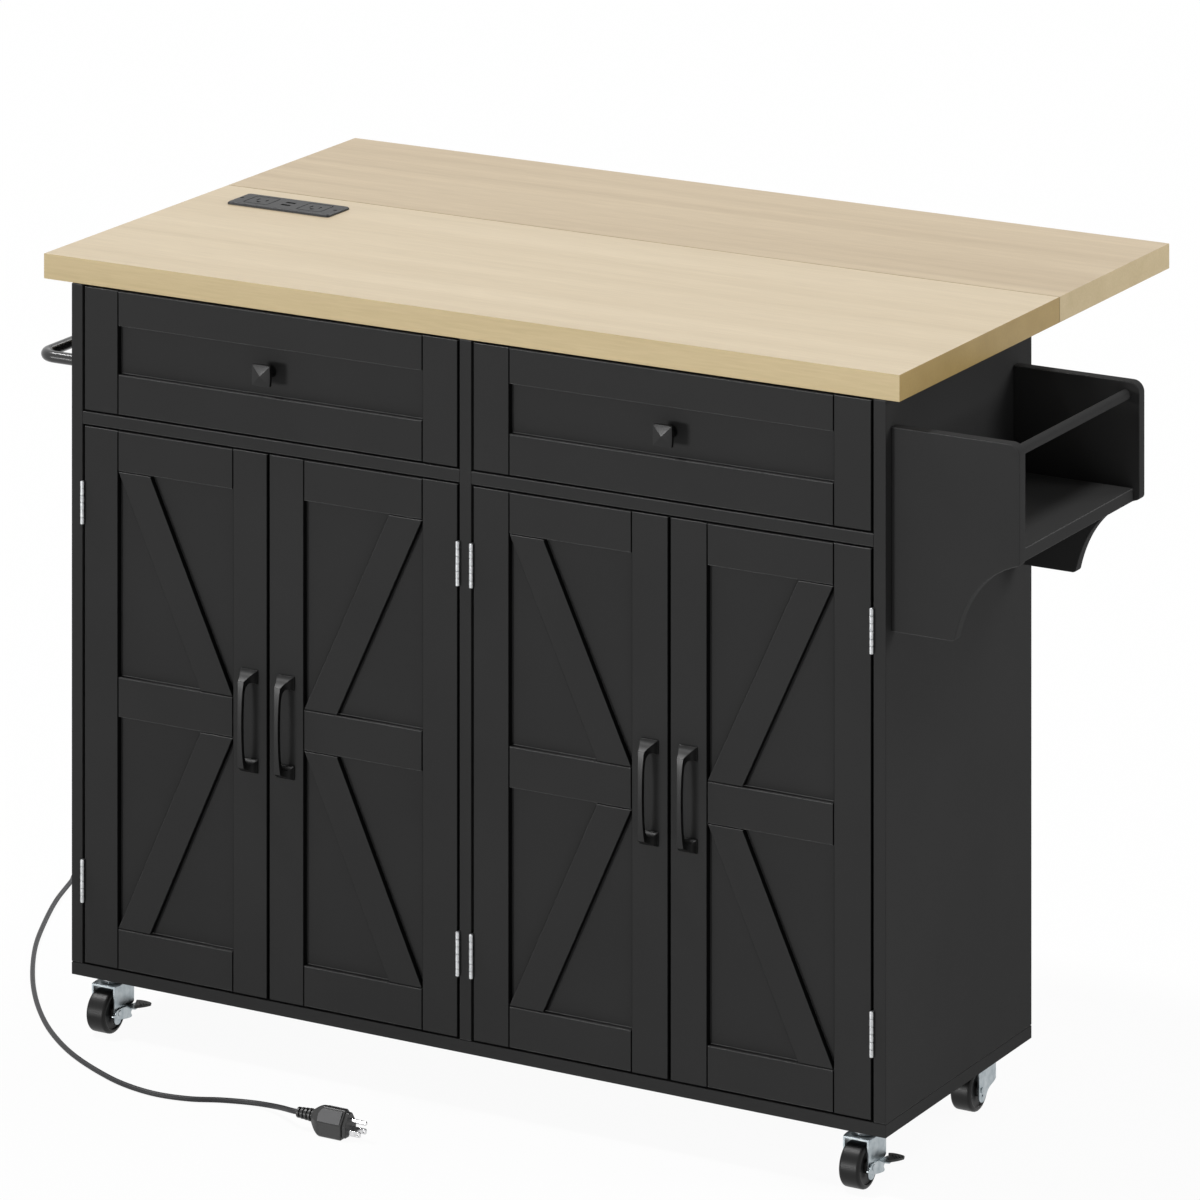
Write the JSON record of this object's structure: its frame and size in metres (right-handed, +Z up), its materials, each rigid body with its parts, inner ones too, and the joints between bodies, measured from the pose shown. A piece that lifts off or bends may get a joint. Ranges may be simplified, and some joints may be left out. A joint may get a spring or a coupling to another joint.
{
  "type": "drop leaf kitchen island",
  "caption": "Kitchen island on castors: worktop with a folding rear leaf, drawers over cross-braced doors, spice rack, towel bar, flush power outlet and mains lead.",
  "frame": {"origin": "on the floor, under the middle of the island's box without its mains lead", "axes": "+Z up, -Y the side with the doors and drawers, +X towards the spice rack, +Y towards the drop leaf"},
  "size_m": [1.5427, 0.8565, 0.9138],
  "materials": {
    "black_board": "matt black lacquered fibreboard",
    "maple_top": "satin light maple grain",
    "drawer_board": "matt black foil",
    "black_metal": "satin black powder coat",
    "hinge_steel": "satin nickel",
    "zinc": "bright zinc plate",
    "wheel_plastic": "satin black nylon",
    "outlet_plastic": "matt black moulding",
    "cord_jacket": "dark grey flexible jacket",
    "plug_plastic": "dark grey moulding with bright pins"
  },
  "bodies": {
    "cabinet": {"worktop": "maple_top", "side_panel_left": "black_board", "side_panel_right": "black_board", "centre_divider": "black_board", "bottom_panel": "black_board", "back_panel": "black_board", "front_rail_left": "black_board", "front_rail_right": "black_board", "shelf_left": "black_board", "shelf_right": "black_board", "leaf_hinge_fixed": "hinge_steel", "brace_mount_left": "hinge_steel", "brace_mount_right": "hinge_steel", "drawer_runner_left": "zinc", "drawer_runner_right": "zinc", "door_1_hinge_upper": "hinge_steel", "door_1_hinge_lower": "hinge_steel", "door_2_hinge_upper": "hinge_steel", "door_2_hinge_lower": "hinge_steel", "door_3_hinge_upper": "hinge_steel", "door_3_hinge_lower": "hinge_steel", "door_4_hinge_upper": "hinge_steel", "door_4_hinge_lower": "hinge_steel", "spice_rack_front_end": "black_board", "spice_rack_rear_end": "black_board", "spice_rack_shelf": "black_board", "spice_rack_rail": "black_board", "towel_bar": "black_metal", "power_outlet": "outlet_plastic", "cord_gland": "cord_jacket", "power_cord": "cord_jacket", "power_plug": "plug_plastic"},
    "leaf": {"drop_leaf": "maple_top", "leaf_hinge_moving": "hinge_steel"},
    "brace_left": {"leaf_brace_left": "hinge_steel"},
    "brace_right": {"leaf_brace_right": "hinge_steel"},
    "drawer_left": {"drawer_front_left": "black_board", "drawer_box_left": "drawer_board", "drawer_knob_left": "black_metal"},
    "drawer_right": {"drawer_front_right": "black_board", "drawer_box_right": "drawer_board", "drawer_knob_right": "black_metal"},
    "door_1": {"door_1": "black_board", "door_pull_1": "black_metal"},
    "door_2": {"door_2": "black_board", "door_pull_2": "black_metal"},
    "door_3": {"door_3": "black_board", "door_pull_3": "black_metal"},
    "door_4": {"door_4": "black_board", "door_pull_4": "black_metal"},
    "castor_front_left": {"castor_front_left_fork": "zinc"},
    "wheel_front_left": {"castor_front_left_wheel": "wheel_plastic"},
    "brake_front_left": {"castor_front_left_brake": "black_metal"},
    "castor_front_right": {"castor_front_right_fork": "zinc"},
    "wheel_front_right": {"castor_front_right_wheel": "wheel_plastic"},
    "brake_front_right": {"castor_front_right_brake": "black_metal"},
    "castor_rear_left": {"castor_rear_left_fork": "zinc"},
    "wheel_rear_left": {"castor_rear_left_wheel": "wheel_plastic"},
    "castor_rear_right": {"castor_rear_right_fork": "zinc"},
    "wheel_rear_right": {"castor_rear_right_wheel": "wheel_plastic"}
  },
  "joints": [
    {"name": "leaf_fold", "type": "hinge", "parent": "cabinet", "child": "leaf", "pos_m": [-0.04085, 0.0646, 0.877], "axis": [-1, 0, 0], "range_deg": [0, 90]},
    {"name": "leaf_brace_left_fold", "type": "hinge", "parent": "cabinet", "child": "brace_left", "pos_m": [-0.36085, 0.0406, 0.7845], "axis": [-1, 0, 0], "range_deg": [0, 114]},
    {"name": "leaf_brace_right_fold", "type": "hinge", "parent": "cabinet", "child": "brace_right", "pos_m": [0.27915, 0.0406, 0.7845], "axis": [-1, 0, 0], "range_deg": [0, 114]},
    {"name": "drawer_left_slide", "type": "slide", "parent": "cabinet", "child": "drawer_left", "axis": [0, -1, 0], "range_m": [0, 0.22]},
    {"name": "drawer_right_slide", "type": "slide", "parent": "cabinet", "child": "drawer_right", "axis": [0, -1, 0], "range_m": [0, 0.22]},
    {"name": "door_1_swing", "type": "hinge", "parent": "cabinet", "child": "door_1", "pos_m": [-0.56435, -0.3417, 0.3978], "axis": [0, 0, -1], "range_deg": [0, 170]},
    {"name": "door_2_swing", "type": "hinge", "parent": "cabinet", "child": "door_2", "pos_m": [-0.04985, -0.3417, 0.3978], "axis": [0, 0, 1], "range_deg": [0, 85]},
    {"name": "door_3_swing", "type": "hinge", "parent": "cabinet", "child": "door_3", "pos_m": [-0.03185, -0.3417, 0.3978], "axis": [0, 0, -1], "range_deg": [0, 85]},
    {"name": "door_4_swing", "type": "hinge", "parent": "cabinet", "child": "door_4", "pos_m": [0.48265, -0.3417, 0.3978], "axis": [0, 0, 1], "range_deg": [0, 170]},
    {"name": "castor_front_left_swivel", "type": "hinge", "parent": "cabinet", "child": "castor_front_left", "pos_m": [-0.54045, -0.3114, 0.05], "axis": [0, 0, 1], "continuous": true},
    {"name": "wheel_front_left_spin", "type": "hinge", "parent": "castor_front_left", "child": "wheel_front_left", "pos_m": [-0.54045, -0.3274, 0.025], "axis": [1, 0, 0], "continuous": true},
    {"name": "brake_front_left_press", "type": "hinge", "parent": "castor_front_left", "child": "brake_front_left", "pos_m": [-0.54045, -0.3274, 0.025], "axis": [-1, 0, 0], "range_deg": [0, 15]},
    {"name": "castor_front_right_swivel", "type": "hinge", "parent": "cabinet", "child": "castor_front_right", "pos_m": [0.45875, -0.3114, 0.05], "axis": [0, 0, 1], "continuous": true},
    {"name": "wheel_front_right_spin", "type": "hinge", "parent": "castor_front_right", "child": "wheel_front_right", "pos_m": [0.45875, -0.3274, 0.025], "axis": [1, 0, 0], "continuous": true},
    {"name": "brake_front_right_press", "type": "hinge", "parent": "castor_front_right", "child": "brake_front_right", "pos_m": [0.45875, -0.3274, 0.025], "axis": [-1, 0, 0], "range_deg": [0, 15]},
    {"name": "castor_rear_left_swivel", "type": "hinge", "parent": "cabinet", "child": "castor_rear_left", "pos_m": [-0.54045, -0.0374, 0.05], "axis": [0, 0, 1], "continuous": true},
    {"name": "wheel_rear_left_spin", "type": "hinge", "parent": "castor_rear_left", "child": "wheel_rear_left", "pos_m": [-0.54045, -0.0534, 0.025], "axis": [1, 0, 0], "continuous": true},
    {"name": "castor_rear_right_swivel", "type": "hinge", "parent": "cabinet", "child": "castor_rear_right", "pos_m": [0.45875, -0.0374, 0.05], "axis": [0, 0, 1], "continuous": true},
    {"name": "wheel_rear_right_spin", "type": "hinge", "parent": "castor_rear_right", "child": "wheel_rear_right", "pos_m": [0.45875, -0.0534, 0.025], "axis": [1, 0, 0], "continuous": true}
  ],
  "couplings": [
    {"joint": "leaf_brace_left_fold", "follows": "leaf_fold", "ratio": 1.262},
    {"joint": "leaf_brace_right_fold", "follows": "leaf_fold", "ratio": 1.262}
  ]
}
